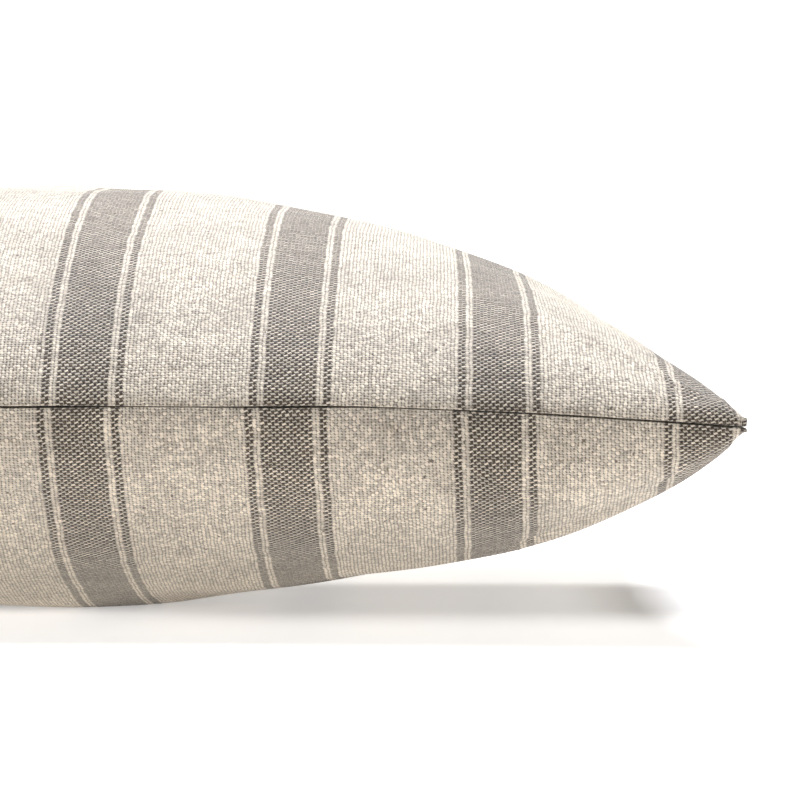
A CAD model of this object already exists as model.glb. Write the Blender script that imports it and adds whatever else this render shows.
import math

import bpy
import numpy as np
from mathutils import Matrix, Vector


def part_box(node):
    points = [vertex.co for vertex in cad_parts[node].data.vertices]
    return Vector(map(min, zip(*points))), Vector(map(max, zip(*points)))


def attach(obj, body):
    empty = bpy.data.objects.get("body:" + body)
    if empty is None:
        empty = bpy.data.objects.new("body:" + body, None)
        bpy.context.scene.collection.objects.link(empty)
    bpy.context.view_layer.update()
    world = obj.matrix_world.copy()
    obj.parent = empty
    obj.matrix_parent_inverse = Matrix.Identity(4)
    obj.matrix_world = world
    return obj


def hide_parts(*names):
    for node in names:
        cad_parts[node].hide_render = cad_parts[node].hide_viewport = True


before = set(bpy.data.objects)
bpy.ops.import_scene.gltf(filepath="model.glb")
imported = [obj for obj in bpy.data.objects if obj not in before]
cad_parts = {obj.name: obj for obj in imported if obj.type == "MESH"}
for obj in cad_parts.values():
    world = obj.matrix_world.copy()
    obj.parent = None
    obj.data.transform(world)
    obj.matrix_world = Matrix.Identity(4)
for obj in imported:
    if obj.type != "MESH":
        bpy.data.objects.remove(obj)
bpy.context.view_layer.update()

bl_info = {
    "name": "Throw Pillow",
    "version": (1, 0, 0),
    "blender": (4, 5, 0),
    "location": "View3D > Sidebar > Pillow",
    "description": "Makes a stuffed linen-look throw pillow round its packed frame",
    "category": "Add Mesh",
}

# Places that come from the frame.
SEAM_Z = sum(corner.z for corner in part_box("cover_seam_thread")) / 2
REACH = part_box("cover_top_panel")[1].x
TAPE_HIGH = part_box("zipper_tape_upper")[1]
COIL_LOW, COIL_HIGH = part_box("zipper_coil_upper")
ZIPPER_EDGE = TAPE_HIGH.y + 0.002
INSERT_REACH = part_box("insert_casing_top")[1].x

COVER_CELLS = 96            # cells across a cover panel while it is simulated
INSERT_CELLS = 72           # the same for the casing
FILLING_CELLS = 96
SETTLING_FRAMES = 20
SHRINK = 0.985              # cloth is cut this much smaller, so it pulls taut
MOST_SETTLING = 0.003       # how far the simulation may move a point
CORNER_SIZE = 0.016         # radius of the folded corners' bulk
LOWER_BULK = 0.3            # share of that bulk in the lower panel
BACK_ROW = 0.18             # beyond this Y a point is on the back side, and before -0.18 on the front
STITCH = 0.0025             # from one stitch to the next
UV_NAME = "cloth"
FINISHES = {}               # materials made so far


# ---------------------------------------------------------------- settings
def number(name, description, value, unit="LENGTH", precision=4):
    """A number setting, a length unless its unit says otherwise."""
    return bpy.props.FloatProperty(name=name, description=description, default=value,
                                   unit=unit, precision=precision)


def colour(name, description, value):
    """A colour setting."""
    return bpy.props.FloatVectorProperty(name=name, description=description, default=value,
                                         subtype="COLOR", size=3, min=0, max=1)


class PillowForm(bpy.types.PropertyGroup):
    cut: number("Cut", "Width of the cover from seam to seam, laid flat", 0.457)
    side_pull: number("Side pull", "How far a side draws in at its middle", 0.015)
    zipper_pull: number("Zipper side pull", "How far the zipper side draws in", REACH - ZIPPER_EDGE)
    zipper_straight: number("Straight stretch", "Half the zipper side's straight part", TAPE_HIGH.x + 0.001)
    cloth_thickness: number("Cloth", "Thickness of the cover cloth", 0.0005)
    tip_bulk: number("Tip bulk", "How much the folded corners thicken the edge", 2.8, "NONE")
    insert_gap: number("Insert gap", "How far the insert's crown lies under the cover", 0.0016)


class PillowWeave(bpy.types.PropertyGroup):
    end_pitch: number("End pitch", "Distance between warp ends", 0.0011143, precision=6)
    pick_pitch: number("Pick pitch", "Distance between weft picks", 0.00098, precision=6)
    repeat_ends: bpy.props.IntProperty(name="Repeat", description="Warp ends from stripe to stripe", default=56)
    upper_shift: number("Upper shift", "Offset of the upper panel's stripes", 0.0006)
    lower_shift: number("Lower shift", "Offset of the lower panel's stripes", 0.0019)
    relief: number("Relief", "Height of the yarns", 0.00035, precision=5)


class PillowZipper(bpy.types.PropertyGroup):
    coil_pitch: number("Coil pitch", "Distance between turns", 0.00125, precision=5)
    coil_height: number("Coil height", "Thickness of the coil", 0.00142, precision=5)
    coil_gap: number("Coil gap", "Half the slit between the coils", 0.00065, precision=5)


class PillowColours(bpy.types.PropertyGroup):
    cream: colour("Cream", "Undyed yarn", (0.67, 0.583, 0.468))
    flax: colour("Flax", "Darker slubs in the undyed yarn", (0.33, 0.25, 0.17))
    taupe: colour("Taupe", "Striped warp yarn", (0.052, 0.041, 0.030))
    hollow: colour("Hollow", "Shade between the yarns", (0.055, 0.038, 0.025))
    fleck: colour("Fleck", "Bark flecks in the yarn", (0.09, 0.06, 0.04))
    thread: colour("Thread", "Sewing thread", (0.52, 0.45, 0.35))
    tape: colour("Tape", "Zipper tape", (0.50, 0.43, 0.33))
    coil: colour("Coil", "Zipper coil", (0.46, 0.40, 0.30))
    enamel: colour("Enamel", "Slider and pull tab", (0.36, 0.30, 0.22))
    casing: colour("Casing", "Insert's cotton", (0.85, 0.84, 0.80))
    label: colour("Label", "Blank label tape", (0.84, 0.84, 0.82))
    fibre: colour("Fibre", "Fibre filling", (0.90, 0.90, 0.89))


class PillowStudio(bpy.types.PropertyGroup):
    lens: number("Lens", "Focal length", 178.7, "CAMERA")
    camera_distance: number("Distance", "Camera to the front corners", 1.1335)
    camera_x: number("Camera X", "Camera's place along the seam", 0.1316)
    camera_height: number("Height", "Camera's height", 0.1002)
    turn: number("Turn", "Camera's turn to the left", math.radians(0.49), "ROTATION")
    tilt: number("Tilt", "Camera's tilt down", math.radians(1.40), "ROTATION")
    sky: number("Sky", "Strength of the even light all round", 0.14, "NONE")
    key: number("Key", "Power of the softbox overhead", 51.0, "POWER")
    side: number("Side", "Power of the softbox on the right", 0.6, "POWER")
    low: number("Low", "Power of the low fill in front", 2.0, "POWER")


# ---------------------------------------------------------------- node trees
class Value:
    """One number or vector in a node tree, which can be used in Python sums."""

    def __init__(self, tree, socket):
        self.tree = tree
        self.socket = socket

    def _sum(self, operation, other, swap=False):
        pair = (other, self) if swap else (self, other)
        return self.tree.maths(operation, *pair)

    def __add__(self, other):
        return self._sum("ADD", other)

    __radd__ = __add__

    def __sub__(self, other):
        return self._sum("SUBTRACT", other)

    def __rsub__(self, other):
        return self._sum("SUBTRACT", other, True)

    def __mul__(self, other):
        return self._sum("MULTIPLY", other)

    __rmul__ = __mul__

    def __truediv__(self, other):
        return self._sum("DIVIDE", other)

    def __lt__(self, other):
        return self._sum("LESS_THAN", other)

    def __gt__(self, other):
        return self._sum("GREATER_THAN", other)


class Tree:
    """Adds nodes to a shader or geometry tree."""

    def __init__(self, tree):
        self.tree = tree

    def node(self, kind, settings=None, **sockets):
        """A node with its settings set first, then its sockets by name or by number as _0, _1."""
        made = self.tree.nodes.new(kind)
        for name, value in (settings or {}).items():
            setattr(made, name, value)
        self.set(made, **sockets)
        return made

    def set(self, made, **sockets):
        """Links or sets a node's sockets, named as in node()."""
        for name, value in sockets.items():
            key = int(name[1:]) if name[0] == "_" else name.replace("_", " ")
            self.feed(made.inputs[key], value)

    def feed(self, socket, value):
        """Links or sets one input."""
        if isinstance(value, Value):
            self.tree.links.new(value.socket, socket)
        elif isinstance(value, bpy.types.NodeSocket):
            self.tree.links.new(value, socket)
        else:
            socket.default_value = value

    def out(self, node, name=0):
        return Value(self, node.outputs[name])

    def maths(self, operation, *values):
        pairs = {f"_{i}": v for i, v in enumerate(values)}
        return self.out(self.node("ShaderNodeMath", {"operation": operation}, **pairs))

    def mix(self, factor, first, second):
        """Colour between two colours."""
        made = self.node("ShaderNodeMix", {"data_type": "RGBA"})
        self.feed(made.inputs[0], factor)
        self.feed(made.inputs[6], as_colour(first))
        self.feed(made.inputs[7], as_colour(second))
        return self.out(made, 2)

    def split(self, vector):
        """Its three numbers."""
        made = self.node("ShaderNodeSeparateXYZ", None, Vector=vector)
        return [self.out(made, i) for i in range(3)]

    def ramp(self, value, low, high):
        """0 below low, 1 above high, smooth between."""
        made = self.node("ShaderNodeMapRange", {"interpolation_type": "SMOOTHSTEP"},
                         Value=value, From_Min=low, From_Max=high)
        return self.out(made)

    def vector(self, x=0.0, y=0.0, z=0.0):
        return self.out(self.node("ShaderNodeCombineXYZ", None, X=x, Y=y, Z=z))

    def noise(self, place, scale=1.0, detail=2.0, rough=0.5):
        made = self.node("ShaderNodeTexNoise", {"noise_dimensions": "3D"},
                         Vector=place, Scale=scale, Detail=detail, Roughness=rough)
        return self.out(made, "Fac")


def as_colour(value):
    if isinstance(value, (Value, bpy.types.NodeSocket)):
        return value
    return (*value, 1.0)


def shaded(tint, share):
    """A colour made darker or lighter by a share."""
    return tuple(share * c for c in tint)


def new_material(name):
    """(material, its tree, its surface shader)."""
    material = bpy.data.materials.new(name)
    material.use_nodes = True
    material.node_tree.nodes.clear()
    tree = Tree(material.node_tree)
    surface = tree.node("ShaderNodeBsdfPrincipled")
    output = tree.node("ShaderNodeOutputMaterial")
    tree.feed(output.inputs["Surface"], surface.outputs[0])
    return material, tree, surface


def object_material(name):
    """The same, and the Object coordinates."""
    material, tree, surface = new_material(name)
    return material, tree, surface, tree.node("ShaderNodeTexCoord").outputs["Object"]


def bump(tree, height, distance, strength=1.0):
    made = tree.node("ShaderNodeBump", None, Height=height, Distance=distance, Strength=strength)
    return made.outputs[0]


# ---------------------------------------------------------------- materials
def cover_cloth():
    """Plain weave in undyed and taupe yarn, with slubs and flecks, laid out on the cloth's own map."""
    weave, tint = bpy.context.scene.pillow_weave, bpy.context.scene.pillow_colours
    material, t, surface = new_material("cover_cloth")
    x, y = t.split(t.node("ShaderNodeUVMap", {"uv_map": UV_NAME}).outputs[0])[:2]

    # Yarns wander a little, so the rows aren't ruled.
    stray = t.noise(t.vector(x, y), 120.0, 3.0, 0.6)
    stray_across = t.noise(t.vector(x, y, 4.0), 95.0, 3.0, 0.6)
    ends = x / weave.end_pitch + (stray - 0.5) * 1.3 + 40 * weave.repeat_ends
    picks = y / weave.pick_pitch + (stray_across - 0.5) * 2.4 + 4096
    end, pick = t.maths("FLOOR", ends), t.maths("FLOOR", picks)
    along_end, along_pick = picks - pick, ends - end
    over = 1 - 2 * t.maths("MODULO", end + pick, 2.0)
    chance = t.node("ShaderNodeTexWhiteNoise", {"noise_dimensions": "3D"}, Vector=t.vector(end, pick, over))
    odd, odder = t.split(chance.outputs["Color"])[:2]

    # Slubs: each yarn swells and thins along its length.
    pick_slub = t.noise(t.vector(x * 60.0, pick * 0.77), 1.0, 3.0)
    end_slub = t.noise(t.vector(end * 0.83, y * 45.0, 7.0), 1.0, 3.0)
    pick_width = 0.20 + 0.60 * pick_slub + 0.18 * odd
    end_width = 0.40 + 0.56 * end_slub + 0.18 * odder

    # Twist leans each float; its round section and its rise over the other yarn give the height.
    lean = (along_pick - 0.5) * (0.35 + 0.5 * odder)
    across_end = ((along_pick - 0.5) * 2 + (along_end - 0.5) * 0.25) / end_width
    across_pick = ((along_end - 0.5) * 2 - lean) / pick_width
    end_round = t.maths("SQRT", t.maths("MAXIMUM", 1 - across_end * across_end, 0.0))
    pick_round = t.maths("SQRT", t.maths("MAXIMUM", 1 - across_pick * across_pick, 0.0))
    end_rise = over * t.maths("SINE", along_end * math.pi)
    pick_rise = 0 - over * t.maths("SINE", along_pick * math.pi)
    end_height = end_round * 0.62 + end_rise * 0.38 - t.maths("GREATER_THAN", 0.02, end_round)
    pick_height = pick_round * 0.62 + pick_rise * 0.38 - t.maths("GREATER_THAN", 0.02, pick_round)
    height = t.maths("MAXIMUM", end_height, pick_height)
    end_on_top = t.ramp(end_height - pick_height, -0.06, 0.06)

    # Which ends are taupe: two, fourteen and two, with two undyed ends between each.
    middle = weave.repeat_ends / 2 - 0.5
    from_middle = t.maths("ABSOLUTE", t.maths("MODULO", end, float(weave.repeat_ends)) - middle)
    band = t.maths("MAXIMUM", from_middle < 7.0, (from_middle > 9.0) * (from_middle < 11.0))

    # Colour of each yarn.
    heather = t.noise(t.vector(x * 1100.0, y * 1100.0), 1.0, 3.0, 0.65)
    pick_flax = t.ramp(t.noise(t.vector(x * 75.0, pick * 3.31, 2.0), 1.0, 4.0, 0.65), 0.47, 0.72)
    end_flax = t.ramp(t.noise(t.vector(end * 3.17, y * 80.0, 9.0), 1.0, 4.0, 0.65), 0.50, 0.78)
    drift = t.noise(t.vector(x, y, 1.5), 24.0, 4.0, 0.6)
    pick_tint = t.mix(pick_flax * 0.62, tint.cream, tint.flax)
    cream_end = t.mix(end_flax * 0.60, tint.cream, tint.flax)
    taupe_end = t.mix(t.ramp(heather, 0.35, 0.75) * 0.35, tint.taupe, tint.flax)
    end_tint = t.mix(band, cream_end, taupe_end)
    yarn = t.mix(end_on_top, pick_tint, end_tint)
    fleck = t.ramp(t.noise(t.vector(x * 420.0, pick * 5.7, 3.0), 1.0, 1.0), 0.72, 0.76)
    yarn = t.mix(fleck * 0.8, yarn, tint.fleck)
    depth = t.ramp(height, 0.62, 0.10)
    shade = t.mix(depth * (0.78 + 0.22 * odd), yarn, t.mix(band * 0.6, tint.hollow, tint.taupe))
    bright = (0.88 + 0.24 * t.ramp(drift, 0.3, 0.7)) * (0.74 + 0.52 * odder) * (0.70 + 0.60 * heather)
    shade = t.out(t.node("ShaderNodeVectorMath", {"operation": "SCALE"}, Vector=shade, Scale=bright))
    fibres = height + (heather - 0.5) * 0.35
    t.set(surface, Base_Color=shade, Roughness=0.82 + 0.12 * heather, Normal=bump(t, fibres, weave.relief),
          Specular_IOR_Level=0.25, Sheen_Weight=0.25, Sheen_Roughness=0.5)
    return material


def woven_tape(name, tint, pitch, slope=0.5):
    """Fine twill on Object coordinates, for tapes, labels and casing."""
    material, t, surface, place = object_material(name)
    x, y, z = t.split(place)
    across = t.maths("SINE", (x + y * slope) * (math.tau / pitch))
    along = t.maths("SINE", (y + z - x * slope) * (math.tau / pitch))
    relief = across * along
    cloud = t.noise(place, 60.0, 3.0)
    base = t.mix(t.ramp(relief, -1.0, 1.0), shaded(tint, 0.78), tuple(tint))
    base = t.mix(t.ramp(cloud, 0.3, 0.7) * 0.15, base, shaded(tint, 0.8))
    t.set(surface, Base_Color=base, Roughness=0.80 + 0.12 * cloud, Normal=bump(t, relief, pitch * 0.2, 0.7),
          Sheen_Weight=0.15)
    return material


def spun_thread(name, tint):
    """Twisted thread."""
    material, t, surface, place = object_material(name)
    x, y, z = t.split(place)
    ply = t.maths("SINE", (x + y + z * 2.0) * 9000.0)
    fuzz = t.noise(place, 1500.0, 2.0)
    base = t.mix(t.ramp(ply + fuzz, 0.0, 1.6), shaded(tint, 0.65), tuple(tint))
    t.set(surface, Base_Color=base, Roughness=0.55 + 0.2 * fuzz, Normal=bump(t, ply, 0.00005),
          Sheen_Weight=0.2)
    return material


def coil_nylon():
    """Nylon monofilament."""
    tint = bpy.context.scene.pillow_colours.coil
    material, t, surface, place = object_material("coil_nylon")
    cloud = t.noise(place, 400.0, 2.0)
    t.set(surface, Base_Color=t.mix(cloud * 0.4, tuple(tint), shaded(tint, 0.75)),
          Roughness=0.30 + 0.15 * cloud)
    return material


def enamelled_metal(name, tint):
    """Painted zinc, worn a little where it is handled."""
    material, t, surface, place = object_material(name)
    cloud = t.noise(place, 500.0, 4.0)
    worn = t.ramp(t.noise(place, 900.0, 3.0), 0.62, 0.70)
    t.set(surface, Base_Color=t.mix(worn * 0.5, tuple(tint), (0.58, 0.55, 0.50)), Metallic=0.35 + 0.5 * worn,
          Roughness=0.32 + 0.20 * cloud, Normal=bump(t, cloud, 0.00002, 0.5), Coat_Weight=0.3)
    return material


def fibre_wadding():
    """Matted polyester fibre."""
    tint = bpy.context.scene.pillow_colours.fibre
    material, t, surface, place = object_material("fibre_wadding")
    tufts = t.noise(place, 60.0, 6.0, 0.7)
    strands = t.noise(place, 700.0, 3.0, 0.7)
    t.set(surface, Base_Color=t.mix(t.ramp(tufts, 0.3, 0.6), shaded(tint, 0.8), tuple(tint)),
          Roughness=0.85 + 0.1 * strands, Normal=bump(t, tufts + strands * 0.3, 0.002), Sheen_Weight=0.4)
    return material


def white_sweep():
    """Pale floor, lit from below: brighter before and behind the pillow, dimmer under it."""
    material, t, surface, place = object_material("white_sweep")
    cloud = t.noise(place, 3.0, 2.0)
    x, y = t.split(place)[:2]
    under = t.ramp(y, -0.14, -0.05) * t.ramp(y, 0.08, 0.02) * t.ramp(x, 0.245, 0.20) * t.ramp(x, 0.0, 0.08)
    before = t.ramp(y, -0.31, -0.25) * t.ramp(y, -0.03, -0.09)
    behind = t.ramp(y, 0.02, 0.08) * t.ramp(y, 0.50, 0.30)
    far = t.ramp(y, 0.30, 0.50)
    beside = t.ramp(x, 0.30, 0.22) * t.ramp(x, -0.30, -0.22)
    open_glow = 0.28 + 0.43 * ((before + behind) * beside + far)
    under_glow = 0.42 - 0.30 * t.ramp(x, 0.17, 0.215)
    glow = open_glow * (1 - under) + under_glow * under
    t.set(surface, Base_Color=t.mix(cloud * 0.2, (0.67, 0.65, 0.62), (0.66, 0.64, 0.61)),
          Emission_Color=t.vector(glow, glow, glow), Emission_Strength=1.0, Roughness=0.9,
          Specular_IOR_Level=0.1)
    return material


def lit_backdrop():
    """Evenly lit white paper behind."""
    material, t, surface, place = object_material("lit_backdrop")
    cloud = t.noise(place, 1.0, 2.0)
    t.set(surface, Base_Color=t.mix(cloud * 0.1, (0.9, 0.9, 0.9), (0.88, 0.88, 0.88)),
          Emission_Color=(1, 1, 1, 1), Emission_Strength=1.0, Roughness=1.0)
    return material


def finish_of(name):
    """One shared material for each finish, made when it is first asked for."""
    if name in FINISHES:
        return FINISHES[name]
    tint = bpy.context.scene.pillow_colours
    bare_steel = (0.55, 0.54, 0.52)
    makers = {
        "cover_cloth": cover_cloth,
        "coil_nylon": coil_nylon,
        "fibre_wadding": fibre_wadding,
        "white_sweep": white_sweep,
        "lit_backdrop": lit_backdrop,
        "zipper_twill": lambda: woven_tape(name, tint.tape, 0.0007, 1.0),
        "label_satin": lambda: woven_tape(name, tint.label, 0.0005),
        "casing_cotton": lambda: woven_tape(name, tint.casing, 0.0009, 0.0),
        "sewing_thread": lambda: spun_thread(name, tint.thread),
        "casing_thread": lambda: spun_thread(name, tint.casing),
        "slider_enamel": lambda: enamelled_metal(name, tint.enamel),
        "stop_steel": lambda: enamelled_metal(name, bare_steel),
    }
    FINISHES[name] = makers[name]()
    return FINISHES[name]


# ---------------------------------------------------------------- pillow form
def side_share(t):
    """Share of a plain side's pull at t, from -1 at one corner to 1 at the other."""
    return 1 - t * t


def zipper_share(t, start):
    """The same for the zipper side, straight up to start."""
    return 0.5 + 0.5 * np.cos(math.pi * np.clip((np.abs(t) - start) / (1 - start), 0, 1))


def plan(u, v, reach):
    """Place in plan of u, v, each from -1 to 1."""
    form = bpy.context.scene.pillow_form
    x = u * (reach - form.side_pull * side_share(v))
    back = form.zipper_pull * zipper_share(u, form.zipper_straight / REACH)
    y = v * (reach - np.where(v > 0, back, form.side_pull * side_share(u)))
    return x, y


class Bulge:
    """How a panel's depth falls off from its middle: fuller corners than a plain dome."""

    def __init__(self, depth, steep, squareness, slack, corner, far_corner):
        self.depth, self.steep, self.squareness, self.slack = depth, steep, squareness, slack
        self.corner, self.far_corner = corner, far_corner

    def fall(self, t):
        tight = np.sqrt(np.clip(1 - np.abs(t) ** self.squareness, 0, 1))
        loose = np.clip(1 - t * t, 0, 1) ** self.slack
        return self.steep * tight + (1 - self.steep) * loose

    def height(self, u, v):
        w = u * u * v * v
        return self.depth * self.fall(u) * self.fall(v) * (1 + self.corner * w + self.far_corner * w**3)

    def inside(self, gap):
        """The same form, lying a gap further in and thinner at its corners."""
        return Bulge(self.depth - gap, self.steep, self.squareness, self.slack, 0.5 * self.corner, 0.0)

    def surface(self, u, v, reach, sign):
        """Points over u, v, as an array [.., xyz]."""
        x, y = plan(u, v, reach)
        return np.stack([x, y, seam_height(u, v) + sign * self.height(u, v)], axis=-1)

    def sections(self, width, count, levels=25, fine=800):
        """Places that are even along the cloth, for lengthwise sections of every depth."""
        t = np.sin(np.linspace(-math.pi / 2, math.pi / 2, fine))
        wanted = np.linspace(-1, 1, count)
        table = []
        for share in np.linspace(0, 1, levels):
            z = self.depth * share * self.fall(t)
            run = np.concatenate([[0], np.cumsum(np.hypot(np.diff(t * width), np.diff(z)))])
            table.append(np.interp(wanted, 2 * run / run[-1] - 1, t))
        return np.array(table)

    def cloth_grid(self, reach, count, sign):
        """u, v of a grid whose rows are even over the cloth."""
        table = self.sections(reach, count)
        levels = np.linspace(0, 1, len(table))
        v = np.tile(np.sin(np.linspace(-math.pi / 2, math.pi / 2, count)), (count, 1))
        for turn in range(8):
            depth = self.fall(v)
            u = np.array([np.interp(depth[i], levels, table[:, i]) for i in range(count)])
            steps = np.linalg.norm(np.diff(self.surface(u, v, reach, sign), axis=1), axis=2)
            v = evened(v, np.insert(np.cumsum(steps, axis=1), 0, 0, axis=1))
        return u, v


def evened(rows, run):
    """Each row's values, moved so that they're evenly spaced by the length run along it."""
    wanted = np.linspace(0, 1, rows.shape[1])
    return np.array([np.interp(wanted * length[-1], length, row) for row, length in zip(rows, run)])


def seam_height(u, v):
    """The seam line waves a little along a side and dips at the corners."""
    w = u * u * v * v
    return SEAM_Z + 0.0040 * w - 0.0175 * w**2 + 0.0082 * w**3


def panel_points(bulge, reach, count, up, floor=0.0):
    """Points of one panel as an array [across, along, xyz]."""
    sign = 1 if up else -1
    points = bulge.surface(*bulge.cloth_grid(reach, count, sign), reach, sign)
    points[..., 2] = np.maximum(points[..., 2], floor)
    return points


def closed_pillow(top, bottom):
    """(points, quads, upper numbers, lower numbers) of two panels that share their border."""
    count = len(top)
    number = grid_numbers(top)
    inside = np.zeros((count, count), bool)
    inside[1:-1, 1:-1] = True
    lower = number.copy()
    lower[inside] = count * count + np.arange(inside.sum())
    points = np.concatenate([top.reshape(-1, 3), bottom[inside]])
    return points, np.concatenate([grid_quads(number), grid_quads(lower)[:, ::-1]]), number, lower


def grid_quads(number):
    """Quads of a grid of point numbers, facing up."""
    corners = number[:-1, :-1], number[1:, :-1], number[1:, 1:], number[:-1, 1:]
    return np.stack(corners, axis=2).reshape(-1, 4)


def grid_numbers(points):
    """Numbers of a grid's points, [across, along]."""
    return np.arange(points.shape[0] * points.shape[1]).reshape(points.shape[:2])


def mesh_object(name, points, quads, smooth=True):
    """A new mesh object with its place in its mesh."""
    mesh = bpy.data.meshes.new(name)
    mesh.from_pydata([tuple(p) for p in points], [], [tuple(int(i) for i in q) for q in quads])
    mesh.update()
    if smooth:
        mesh.polygons.foreach_set("use_smooth", np.ones(len(mesh.polygons), bool))
    made = bpy.data.objects.new(name, mesh)
    bpy.context.scene.collection.objects.link(made)
    return made


def inflate(top, bottom):
    """Blows the two sewn panels up as cloth cut to its flat size, and returns them settled."""
    form = bpy.context.scene.pillow_form
    points, quads, upper_number, lower_number = closed_pillow(top, bottom)
    body = mesh_object("inflating_cover", points, quads)
    half = form.cut / 2 * SHRINK
    flat = np.linspace(-half, half, len(top))
    cut = np.zeros_like(points)
    for number in (upper_number, lower_number):
        cut[number.ravel(), 0] = np.repeat(flat, len(flat))
        cut[number.ravel(), 1] = np.tile(flat, len(flat))
    body.shape_key_add(name="Basis")
    key = body.shape_key_add(name="cut")
    key.data.foreach_set("co", cut.ravel())
    border = np.unique(upper_number[ring_order(len(top))])
    pins = body.vertex_groups.new(name="seam")
    pins.add([int(i) for i in border], 1.0, "REPLACE")
    cloth = body.modifiers.new("cloth", "CLOTH")
    s = cloth.settings
    s.quality = 6
    s.mass = 0.25
    s.tension_stiffness = s.compression_stiffness = 25
    s.shear_stiffness = 8
    s.bending_stiffness = 1.2
    s.use_pressure = True
    s.uniform_pressure_force = 5.0
    s.vertex_group_mass = "seam"
    s.rest_shape_key = body.data.shape_keys.key_blocks["cut"]
    s.effector_weights.gravity = 0.0
    cloth.collision_settings.use_collision = False
    cloth.collision_settings.use_self_collision = False
    scene = bpy.context.scene
    for frame_number in range(1, SETTLING_FRAMES + 1):
        scene.frame_set(frame_number)
    evaluated = body.evaluated_get(bpy.context.evaluated_depsgraph_get())
    settled = np.zeros(len(points) * 3)
    evaluated.data.vertices.foreach_get("co", settled)
    settled = settled.reshape(-1, 3)
    scene.frame_set(1)
    discard(body)
    return settled[upper_number], settled[lower_number]


def discard(made):
    """Removes a scratch object and its mesh."""
    mesh = made.data
    bpy.data.objects.remove(made)
    bpy.data.meshes.remove(mesh)


def capped(base, settled):
    """Settled points, moved from their base by at most MOST_SETTLING."""
    move = settled - base
    length = np.linalg.norm(move, axis=2, keepdims=True)
    return base + move * (MOST_SETTLING * np.tanh(length / MOST_SETTLING) / np.maximum(length, 1e-9))


def refined(points):
    """The grid with a point added between each two, on a smooth curve."""
    for axis in (0, 1):
        p = np.moveaxis(points, axis, 0)
        ends = np.concatenate([[2 * p[0] - p[1]], p, [2 * p[-1] - p[-2]]])
        mid = (-ends[:-3] + 9 * ends[1:-2] + 9 * ends[2:-1] - ends[3:]) / 16
        both = np.empty((2 * len(p) - 1, *p.shape[1:]))
        both[0::2], both[1::2] = p, mid
        points = np.moveaxis(both, 0, axis)
    return points


def ring_order(count):
    """Grid indices round the border, anticlockwise from the front left corner."""
    last = count - 1
    run = np.arange(last)
    i = np.concatenate([run, np.full(last, last), last - run, np.zeros(last, int)])
    j = np.concatenate([np.zeros(last, int), run, np.full(last, last), last - run])
    return i, j


def outward(points):
    """Level outward directions round a closed ring, lengthened at its corners like a mitre."""
    before, after = np.roll(points, 1, axis=0), np.roll(points, -1, axis=0)
    normals = []
    for a, b in ((before, points), (points, after)):
        d = (b - a)[:, :2]
        d /= np.linalg.norm(d, axis=1, keepdims=True)
        normals.append(np.stack([d[:, 1], -d[:, 0]], axis=1))
    out = normals[0] + normals[1]
    out *= 2 / np.maximum((out * out).sum(axis=1, keepdims=True), 0.5)
    return np.concatenate([out, np.zeros((len(out), 1))], axis=1)


# Section of a folded edge as (distance in from the border, height above the seam), in millimetres.
PLAIN_FOLD = [(0, 0.66), (0.14, 0.34), (0.45, 0.20), (1.10, 0.18),
              (2.2, 0.16), (4.8, 0.05), (7.4, 0.05), (10, 0.05)]
ZIPPER_FOLD = [(0, 1.30), (0.19, 0.84), (0.65, 0.66), (1.11, 0.84),
               (1.30, 1.40), (1.34, 2.60), (2.2, 3.35), (11, 3.40)]


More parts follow.
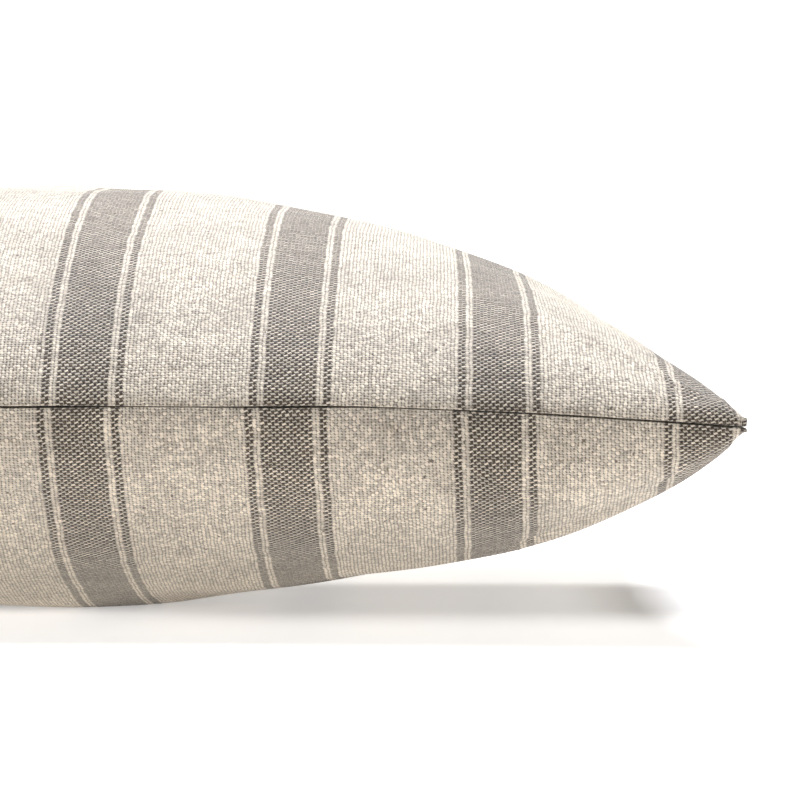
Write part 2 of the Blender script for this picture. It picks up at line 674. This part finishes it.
def cover_panel(name, points, up):
    """A panel of cloth with its folded edge, its allowance and its thickness."""
    form, weave = bpy.context.scene.pillow_form, bpy.context.scene.pillow_weave
    count = len(points)
    sign = 1 if up else -1
    half = form.cut / 2
    flat = np.linspace(-half, half, count)
    i, j = ring_order(count)
    ring = points[i, j].copy()
    near_zipper = (j == count - 1) & (np.abs(ring[:, 0]) < form.zipper_straight)
    weight = np.where(near_zipper, np.clip((form.zipper_straight - np.abs(ring[:, 0])) / 0.008, 0, 1), 0.0)
    weight = weight * weight * (3 - 2 * weight)
    plain, zipped = np.array(PLAIN_FOLD) / 1000, np.array(ZIPPER_FOLD) / 1000
    fold = plain[None] + weight[:, None, None] * (zipped - plain)[None]
    from_corner = np.hypot(half - np.abs(flat)[:, None], half - np.abs(flat)[None, :])
    corner = np.exp(-((from_corner / CORNER_SIZE) ** 2))
    bulk = 1 + form.tip_bulk * (1 if up else LOWER_BULK) * corner
    fold[:, 0, 1] *= bulk[i, j]

    # The edge stands off the seam by the fold's start, fading into the panel.
    from_border = half - np.abs(flat)
    edge = np.minimum(from_border[:, None], from_border[None, :])
    along = np.zeros(count)
    along[i[j == count - 1]] = weight[j == count - 1]
    near_back = np.exp(-(half - flat) / 0.006)
    start = plain[0, 1] + (zipped[0, 1] - plain[0, 1]) * along[:, None] * near_back[None, :]
    lift = start * bulk * np.exp(-((edge / (0.005 + 0.004 * corner)) ** 2))
    body = points.copy()
    body[..., 2] += sign * lift

    out = outward(ring)
    seam = ring[:, 2]
    rows, row_uv = [], []
    ring_uv = np.stack([flat[i], flat[j]], axis=1)
    uv_out = np.sign(np.round(ring_uv / half, 9)) * (np.abs(np.abs(ring_uv) - half) < 1e-9)
    walked = np.zeros(len(ring))
    for k in range(1, fold.shape[1]):
        step = fold[:, k] - fold[:, k - 1]
        walked = walked + np.linalg.norm(step, axis=1)
        row = ring - out * fold[:, k, 0:1]
        row[:, 2] = seam + sign * fold[:, k, 1]
        rows.append(row)
        row_uv.append(ring_uv + uv_out * walked[:, None])
    number = grid_numbers(points)
    quads = [grid_quads(number)]
    previous = number[i, j]
    total = count * count
    for row in rows:
        current = total + np.arange(len(row))
        total += len(row)
        quads.append(np.stack([previous, current, np.roll(current, -1), np.roll(previous, -1)], axis=1))
        previous = current
    quads = np.concatenate(quads)
    if not up:
        quads = quads[:, ::-1]
    made = mesh_object(name, np.concatenate([body.reshape(-1, 3), *rows]), quads)
    grid_uv = np.stack(np.meshgrid(flat, flat, indexing="ij"), axis=2).reshape(-1, 2)
    uv = np.concatenate([grid_uv, *row_uv])
    uv = uv + (weave.upper_shift, 0.0) if up else uv * (1, -1) + (weave.lower_shift, 0.0)
    write_uv(made, uv)
    whole = made.vertex_groups.new(name="whole")
    whole.add([int(k) for k in number[3:-3, 3:-3].ravel()], 1.0, "REPLACE")
    thick = made.modifiers.new("thickness", "SOLIDIFY")
    thick.thickness = form.cloth_thickness
    thick.offset = -1.0
    thick.vertex_group = "whole"
    thick.thickness_vertex_group = 0.25
    apply_modifiers(made)
    return made


def write_uv(made, uv):
    """Stores each point's place on the flat cloth."""
    layer = made.data.uv_layers.new(name=UV_NAME)
    corner = np.zeros(len(made.data.loops), int)
    made.data.loops.foreach_get("vertex_index", corner)
    layer.data.foreach_set("uv", uv[corner].ravel())


def apply_modifiers(made):
    """Turns an object's modifiers into plain mesh."""
    evaluated = made.evaluated_get(bpy.context.evaluated_depsgraph_get())
    mesh = bpy.data.meshes.new_from_object(evaluated)
    old = made.data
    made.modifiers.clear()
    made.data = mesh
    mesh.name = made.name
    bpy.data.meshes.remove(old)


def dress(made, finish, slot, body, *nodes):
    """Gives a piece its finish, its place in the object and the nodes that it stands for."""
    made.data.materials.clear()
    made.data.materials.append(finish_of(finish))
    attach(made, body)
    if nodes:
        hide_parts(*nodes)


UPPER = Bulge(depth=0.0687, steep=0.70, squareness=2.178, slack=1.02, corner=0.06, far_corner=1.75)
LOWER = Bulge(depth=0.0716, steep=0.96, squareness=1.736, slack=1.03, corner=1.57, far_corner=-0.22)


def uneven(points, up):
    """Slight lumps of the filling under the cloth."""
    x, y = points[..., 0], points[..., 1]
    phase = 0.0 if up else 1.7
    lumps = np.sin(x * 61 + 1.3 + phase) * np.sin(y * 53 + 0.4)
    lumps += 0.6 * np.sin(x * 97 - y * 41 + 2.1 + phase) + 0.5 * np.sin(x * 33 + y * 88 + phase)
    inner = np.clip(1 - (np.maximum(np.abs(x), np.abs(y)) / REACH) ** 6, 0, 1)
    moved = points.copy()
    moved[..., 2] += (1 if up else -1) * 0.0005 * lumps * inner
    return moved


class PILLOW_OT_cover(bpy.types.Operator):
    """Sew, inflate and finish the striped cover"""
    bl_idname = "pillow.cover"
    bl_label = "Cover"

    def execute(self, context):
        count = COVER_CELLS + 1
        top = panel_points(UPPER, REACH, count, True)
        bottom = panel_points(LOWER, REACH, count, False)
        blown = inflate(top, bottom)
        top, bottom = (capped(base, settled) for base, settled in zip((top, bottom), blown))
        top, bottom = refined(uneven(top, True)), refined(uneven(bottom, False))
        bottom[..., 2] = np.maximum(bottom[..., 2], 0.0)
        for name, points, up in (("cover_top", top, True), ("cover_bottom", bottom, False)):
            panel = cover_panel(name, points, up)
            dress(panel, "cover_cloth", "cover_cloth", "root", f"{name}_panel")
        return {"FINISHED"}


# ---------------------------------------------------------------- threads and other small repeats
def tube(path, radius, sides=5):
    """(points, quads) of a thin round bar along a path, open at its ends."""
    path = np.array(path, float)
    ahead = np.gradient(path, axis=0)
    ahead /= np.linalg.norm(ahead, axis=1, keepdims=True)
    side = np.cross(ahead, (0.05, 0.02, 1.0))
    side /= np.linalg.norm(side, axis=1, keepdims=True)
    up = np.cross(side, ahead)
    turn = np.arange(sides) * math.tau / sides
    ring = np.cos(turn)[None, :, None] * side[:, None] + np.sin(turn)[None, :, None] * up[:, None]
    points = path[:, None] + radius * ring
    quads = []
    for k in range(len(path) - 1):
        for m in range(sides):
            n = (m + 1) % sides
            quads.append((k * sides + m, k * sides + n, (k + 1) * sides + n, (k + 1) * sides + m))
    return points.reshape(-1, 3), quads


def lock_stitch():
    """One float of a lockstitch, which dips into the cloth at both ends."""
    path = [(-1.15, 0, -0.22), (-0.85, 0, 0.02), (-0.3, 0, 0.07),
            (0.3, 0, 0.07), (0.85, 0, 0.02), (1.15, 0, -0.22)]
    return tube(np.array(path) / 1000, 0.00011)


def overlock_loop():
    """One loop of overlocking round a cut edge, which is on the left of the path."""
    path = [(-1.3, -2.4, 0.75), (-0.6, -0.9, 0.85), (-0.2, 0.1, 0.7), (0, 0.35, 0),
            (0.2, 0.1, -0.7), (0.6, -0.9, -0.85), (1.3, -2.4, -0.75)]
    return tube(np.array(path) / 1000, 0.00013)


def coil_turn():
    """One turn of a zipper's nylon coil."""
    zipper, wire = bpy.context.scene.pillow_zipper, 0.0002
    a = np.linspace(0, math.tau, 17)
    half_deep = (COIL_HIGH.y - COIL_LOW.y) / 2 - wire
    half_high = zipper.coil_height / 2 - wire
    path = [zipper.coil_pitch * (a / math.tau - 0.5), half_deep * np.sin(a), half_high * np.cos(a)]
    return tube(np.stack(path, axis=1), wire)


def copies_tree(material):
    """Geometry nodes that set copies of one shape evenly along a path, leaning a little at random."""
    group = bpy.data.node_groups.new("copies_along_path", "GeometryNodeTree")
    face = group.interface
    for name, kind in (("Path", "Geometry"), ("Copy", "Object"), ("Spacing", "Float"),
                       ("Lean", "Float"), ("Seed", "Int")):
        face.new_socket(name, in_out="INPUT", socket_type=f"NodeSocket{kind}")
    face.new_socket("Copies", in_out="OUTPUT", socket_type="NodeSocketGeometry")
    t = Tree(group)
    given = t.node("NodeGroupInput")
    curve = t.node("GeometryNodeMeshToCurve", None, Mesh=given.outputs["Path"])
    even = t.node("GeometryNodeResampleCurve", {"mode": "LENGTH"}, Curve=curve.outputs[0],
                  Length=given.outputs["Spacing"])
    copy = t.node("GeometryNodeObjectInfo", None, Object=given.outputs["Copy"])
    along = t.node("GeometryNodeInputTangent")
    facing = t.node("FunctionNodeAlignRotationToVector", {"axis": "X", "pivot_axis": "Z"},
                    Vector=along.outputs[0])
    most = t.out(given, "Lean")
    wobble = t.node("FunctionNodeRandomValue", {"data_type": "FLOAT"}, _2=most * -1.0, _3=most,
                    Seed=given.outputs["Seed"])
    lean = t.node("FunctionNodeRotateRotation", {"rotation_space": "LOCAL"}, _0=facing.outputs[0],
                  _1=t.vector(0.0, 0.0, t.out(wobble, 1)))
    placed = t.node("GeometryNodeInstanceOnPoints", None, Points=even.outputs[0],
                    Instance=copy.outputs["Geometry"], Rotation=lean.outputs[0])
    real = t.node("GeometryNodeRealizeInstances", None, Geometry=placed.outputs[0])
    finish = t.node("GeometryNodeSetMaterial", None, Geometry=real.outputs[0], Material=material)
    result = t.node("NodeGroupOutput")
    t.feed(result.inputs["Copies"], finish.outputs[0])
    return group


def row_of(name, shape, paths, spacing, finish, lean):
    """A mesh of copies of one small shape along paths, each a list of points."""
    pattern = mesh_object(f"{name}_pattern", *shape)
    points, edges = [], []
    for path in paths:
        start = len(points)
        points += [tuple(point) for point in path]
        edges += [(start + k, start + k + 1) for k in range(len(path) - 1)]
    mesh = bpy.data.meshes.new(name)
    mesh.from_pydata(points, edges, [])
    made = bpy.data.objects.new(name, mesh)
    bpy.context.scene.collection.objects.link(made)
    group = copies_tree(finish_of(finish))
    modifier = made.modifiers.new("copies", "NODES")
    modifier.node_group = group
    values = {"Copy": pattern, "Spacing": spacing, "Lean": lean, "Seed": 3}
    for item in group.interface.items_tree:
        if item.in_out == "INPUT" and item.name in values:
            modifier[item.identifier] = values[item.name]
    apply_modifiers(made)
    bpy.data.node_groups.remove(group)
    discard(pattern)
    return made


def sew(node, name, shape, paths, spacing=STITCH, finish="sewing_thread", slot="sewing_thread", lean=0.05):
    """A row of copies along paths that stands for a node."""
    dress(row_of(name, shape, paths, spacing, finish, lean), finish, slot, "root", node)


def seam_path(reach, inset, sides="FRBL", keep=None, count=181):
    """Points on the seam, a little inside a pillow's outline; keep says which points stay."""
    t = np.linspace(-1, 1, count)
    one = np.ones(count)
    runs = {"F": (t, -one), "R": (one, t), "B": (-t, one), "L": (-one, -t)}
    paths = []
    for side in sides:
        x, y = plan(*runs[side], reach)
        line = np.stack([x, y, seam_height(*runs[side])], axis=1)
        line[:, :2] *= (reach - inset) / reach
        paths += broken(line, keep) if keep else [line]
    return paths


def broken(line, keep):
    """The parts of a line that stay."""
    parts, run = [], []
    for point in line:
        if keep(point):
            run.append(point)
        elif len(run) > 1:
            parts.append(run)
            run = []
        else:
            run = []
    return parts + ([run] if len(run) > 1 else [])


def beyond_zipper(point):
    """True away from the zipper's opening."""
    return point[1] < BACK_ROW or abs(point[0]) > TAPE_HIGH.x + 0.001


def middle(box, x=None, y=None):
    """The middle of a box, or a point with its own x or y there."""
    low, high = box
    centre = (low + high) / 2
    return (centre.x if x is None else x, centre.y if y is None else y, centre.z)


def panel_of_tape(name, across, path, thickness, width_axis):
    """A strip of tape: a path of points in one plane, swept along an axis, then given its thickness."""
    path = np.array(path, float)
    steps = np.linspace(*across)
    points = np.repeat(path[:, None], len(steps), axis=1)
    points[:, :, width_axis] = steps[None]
    made = mesh_object(name, points.reshape(-1, 3), grid_quads(grid_numbers(points)))
    thick = made.modifiers.new("thickness", "SOLIDIFY")
    thick.thickness = thickness
    thick.offset = 0.0
    apply_modifiers(made)
    return made


class PILLOW_OT_seams(bpy.types.Operator):
    """Stitch and overlock the cover's seams"""
    bl_idname = "pillow.seams"
    bl_label = "Seams"

    def execute(self, context):
        stitched = seam_path(REACH, 0.0020, keep=beyond_zipper)
        sew("cover_seam_thread", "cover_seam", lock_stitch(), stitched)
        edge = seam_path(REACH, 0.0104, keep=beyond_zipper)
        sew("cover_overlock_thread", "cover_overlock", overlock_loop(), edge, 0.0026, lean=0.12)
        return {"FINISHED"}


class PILLOW_OT_zipper(bpy.types.Operator):
    """Make the concealed zipper's tapes, coils and stitching, and finish its metal parts"""
    bl_idname = "pillow.zipper"
    bl_label = "Zipper"

    def execute(self, context):
        zipper = context.scene.pillow_zipper
        for half, sign in (("upper", 1), ("lower", -1)):
            low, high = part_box(f"zipper_tape_{half}")
            level = (low.z + high.z) / 2
            across = np.linspace(low.y, high.y, 13)
            edge = [(0.0, y, level + sign * 0.00004 * math.sin((y - low.y) * 2600)) for y in across]
            tape = panel_of_tape(f"tape_{half}", (low.x, high.x, 240), edge, high.z - low.z - 0.0001, 0)
            dress(tape, "zipper_twill", "zipper_tape", "root", f"zipper_tape_{half}")

            low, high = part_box(f"zipper_coil_{half}")
            deep = (low.y + high.y) / 2
            level = SEAM_Z + sign * (zipper.coil_gap + zipper.coil_height / 2)
            line = [(low.x + 0.0006, deep, level), (high.x - 0.0006, deep, level)]
            sew(f"zipper_coil_{half}", f"coil_{half}", coil_turn(), [line], zipper.coil_pitch,
                "coil_nylon", "zipper_coil", 0.0)

            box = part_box(f"zipper_stitching_{half}")
            line = [middle(box, x=box[0].x), middle(box, x=box[1].x)]
            sew(f"zipper_stitching_{half}", f"zipper_stitches_{half}", lock_stitch(), [line], 0.0026)
        for node, finish in (("zipper_end_bartacks", "sewing_thread"), ("zipper_top_stops", "stop_steel"),
                             ("zipper_bottom_stop", "stop_steel"), ("zipper_slider", "slider_enamel"),
                             ("zipper_pull_tab", "slider_enamel")):
            finish_node(node, finish)
        return {"FINISHED"}


def finish_node(node, finish):
    """Keeps a CAD node, eases its edges and gives it a finish."""
    kept = bpy.data.objects[node]
    kept.data.materials.clear()
    kept.data.materials.append(finish_of(finish))
    eased = kept.modifiers.new("eased", "BEVEL")
    eased.width = 0.00012
    eased.segments = 2
    eased.limit_method = "ANGLE"


class PILLOW_OT_labels(bpy.types.Operator):
    """Hang the blank labels in the cover's and the insert's seams"""
    bl_idname = "pillow.labels"
    bl_label = "Labels"

    def execute(self, context):
        thick = 0.0003
        half = thick / 2
        low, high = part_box("care_label")
        bend, care_length = 0.0012, 0.0232
        tab = [(x, 0, high.z - half) for x in np.linspace(low.x, high.x - bend, 12)]
        round_x, round_z = high.x - bend, high.z - bend
        turn = [(round_x + (bend - half) * math.sin(a), 0, round_z + (bend - half) * math.cos(a))
                for a in np.linspace(0, math.pi / 2, 7)[1:]]
        leaf = [(high.x - half - 0.0006 * math.sin((high.z - z) * 180) ** 2, 0, z)
                for z in np.linspace(round_z, low.z, 18)[1:]]
        label = panel_of_tape("care_leaf", (low.y, high.y, 41), tab + turn + leaf, thick, 1)
        dress(label, "label_satin", "label_cloth", "root", "care_label")

        low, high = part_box("insert_label")
        line = [(low.x + half + 0.0005 * math.sin((high.z - z) * 160) ** 2, 0, z)
                for z in np.linspace(high.z, low.z, 24)]
        label = panel_of_tape("insert_leaf", (low.y, high.y, 41), line, thick, 1)
        dress(label, "label_satin", "label_cloth", "root", "insert_label")

        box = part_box("care_label_stitching")
        line = [middle(box, y=box[0].y), middle(box, y=box[1].y)]
        sew("care_label_stitching", "care_leaf_stitches", lock_stitch(), [line])
        return {"FINISHED"}


class PILLOW_OT_insert(bpy.types.Operator):
    """Make the insert: its cotton casing, its seams and its fibre filling"""
    bl_idname = "pillow.insert"
    bl_label = "Insert"

    def execute(self, context):
        form = context.scene.pillow_form
        cloth, floor = 0.0003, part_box("insert_casing_bottom")[0].z
        for name, bulge, up in (("casing_top", UPPER, True), ("casing_bottom", LOWER, False)):
            inner = bulge.inside(form.insert_gap)
            points = panel_points(inner, INSERT_REACH, INSERT_CELLS + 1, up, floor)
            points = uneven(refined(points), up)
            points[..., 2] = clear_of_seam(points[..., 2], up, cloth)
            quads = grid_quads(grid_numbers(points))
            casing = mesh_object(name, points.reshape(-1, 3), quads if up else quads[:, ::-1])
            thick = casing.modifiers.new("thickness", "SOLIDIFY")
            thick.thickness = cloth
            apply_modifiers(casing)
            dress(casing, "casing_cotton", "casing_cloth", "root", f"insert_{name}")
        self.fill(form)

        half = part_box("insert_closing_seam")[1].x
        outside = seam_path(INSERT_REACH, 0.0004, keep=lambda p: p[1] > -BACK_ROW or abs(p[0]) > half)
        sew("insert_seam_thread", "casing_seam", lock_stitch(), outside, finish="casing_thread")
        edge = seam_path(INSERT_REACH, 0.0030)
        sew("insert_overlock_thread", "casing_overlock", overlock_loop(), edge, 0.0028, "casing_thread",
            lean=0.12)
        closing = seam_path(INSERT_REACH, 0.0009, "F", keep=lambda p: abs(p[0]) < half)
        sew("insert_closing_seam", "casing_closing", lock_stitch(), closing, 0.0028, "casing_thread", lean=0.12)
        return {"FINISHED"}

    def fill(self, form):
        """Filling as one lumpy body inside the casing."""
        halves = []
        for bulge, up in ((UPPER, True), (LOWER, False)):
            inner = bulge.inside(form.insert_gap + 0.002)
            points = panel_points(inner, INSERT_REACH - 0.0012, FILLING_CELLS + 1, up, 0.0030)
            x, y = points[..., 0], points[..., 1]
            tufts = np.sin(x * 210 + 2 * np.sin(y * 130)) * np.sin(y * 190 + 2 * np.sin(x * 150 + 1))
            depth = np.abs(points[..., 2] - SEAM_Z)
            points[..., 2] -= (1 if up else -1) * (0.0006 + 0.0006 * tufts) * np.clip(depth / 0.02, 0, 1)
            halves.append(points)
        points, quads, _, _ = closed_pillow(*halves)
        body = mesh_object("filling", points, quads)
        dress(body, "fibre_wadding", "fibre", "root", "fibre_fill")


def clear_of_seam(z, up, least):
    """Heights kept on their own side of the seam."""
    if up:
        return np.maximum(z, SEAM_Z - 0.0045 + least)
    return np.minimum(z, SEAM_Z - least)


class PILLOW_OT_stage(bpy.types.Operator):
    """Set the floor, the light and the camera"""
    bl_idname = "pillow.stage"
    bl_label = "Stage"

    def execute(self, context):
        studio = context.scene.pillow_studio
        size = 20.0
        ground = [(-size, -size, 0), (size, -size, 0), (size, size, 0), (-size, size, 0)]
        self.sheet_of("floor", ground, "white_sweep")
        self.sheet_of("backdrop", [(-6, 4, -1), (6, 4, -1), (6, 4, 4), (-6, 4, 4)], "lit_backdrop")
        world = bpy.data.worlds.new("studio")
        world.use_nodes = True
        background = world.node_tree.nodes["Background"]
        Tree(world.node_tree).set(background, Color=(1, 1, 1, 1), Strength=studio.sky)
        context.scene.world = world
        cool = (0.95, 0.99, 1.08)
        area_light("overhead", (0.05, 0.34, 1.3), (0.05, 0.34, 0.0), (0.6, 1.95), studio.key, cool)
        area_light("right_fill", (1.9, -0.9, 1.3), (0.1, -0.1, 0.1), (1.4, 1.0), studio.side)
        area_light("low_fill", (0.1, -2.6, 0.22), (0.1, -0.1, 0.05), (2.4, 0.35), studio.low)
        camera = bpy.data.objects.new("camera", bpy.data.cameras.new("camera"))
        context.scene.collection.objects.link(camera)
        camera.data.lens = studio.lens
        camera.data.sensor_width = 36
        camera.data.clip_end = 100
        camera.location = (studio.camera_x, -REACH - studio.camera_distance, studio.camera_height)
        camera.rotation_euler = (math.pi / 2 - studio.tilt, 0, studio.turn)
        context.scene.camera = camera
        context.scene.view_settings.view_transform = "Standard"
        return {"FINISHED"}

    def sheet_of(self, name, corners, finish):
        """A flat studio surface."""
        made = mesh_object(name, corners, [(0, 1, 2, 3)], smooth=False)
        made.data.materials.append(finish_of(finish))


def area_light(name, place, aim, size, power, tint=(1, 1, 1)):
    """A softbox that faces a point."""
    light = bpy.data.lights.new(name, "AREA")
    light.shape = "RECTANGLE"
    light.size, light.size_y = size
    light.energy = power
    light.color = tint
    made = bpy.data.objects.new(name, light)
    bpy.context.scene.collection.objects.link(made)
    made.location = place
    ahead = Vector(aim) - Vector(place)
    heading = math.atan2(-ahead.x, ahead.y) if ahead.xy.length else 0
    made.rotation_euler = (math.atan2(ahead.xy.length, -ahead.z), 0, heading)


class PILLOW_PT_sidebar(bpy.types.Panel):
    bl_idname = "PILLOW_PT_sidebar"
    bl_label = "Throw Pillow"
    bl_space_type = "VIEW_3D"
    bl_region_type = "UI"
    bl_category = "Pillow"

    def draw(self, context):
        for operator in OPERATORS:
            self.layout.operator(operator.bl_idname)
        for settings in SETTINGS:
            self.layout.label(text=settings.__name__)
            group = getattr(context.scene, SETTINGS[settings])
            for name in settings.__annotations__:
                self.layout.prop(group, name)


SETTINGS = {
    PillowForm: "pillow_form",
    PillowWeave: "pillow_weave",
    PillowZipper: "pillow_zipper",
    PillowColours: "pillow_colours",
    PillowStudio: "pillow_studio",
}
OPERATORS = (PILLOW_OT_stage, PILLOW_OT_cover, PILLOW_OT_seams, PILLOW_OT_zipper, PILLOW_OT_labels,
             PILLOW_OT_insert)


def register():
    for kind in (*SETTINGS, *OPERATORS, PILLOW_PT_sidebar):
        bpy.utils.register_class(kind)
    for kind, name in SETTINGS.items():
        setattr(bpy.types.Scene, name, bpy.props.PointerProperty(type=kind))


def unregister():
    for name in SETTINGS.values():
        delattr(bpy.types.Scene, name)
    for kind in reversed((*SETTINGS, *OPERATORS, PILLOW_PT_sidebar)):
        bpy.utils.unregister_class(kind)


def main():
    register()
    for operator in OPERATORS:
        family, name = operator.bl_idname.split(".")
        getattr(getattr(bpy.ops, family), name)()


if __name__ == "__main__":
    main()
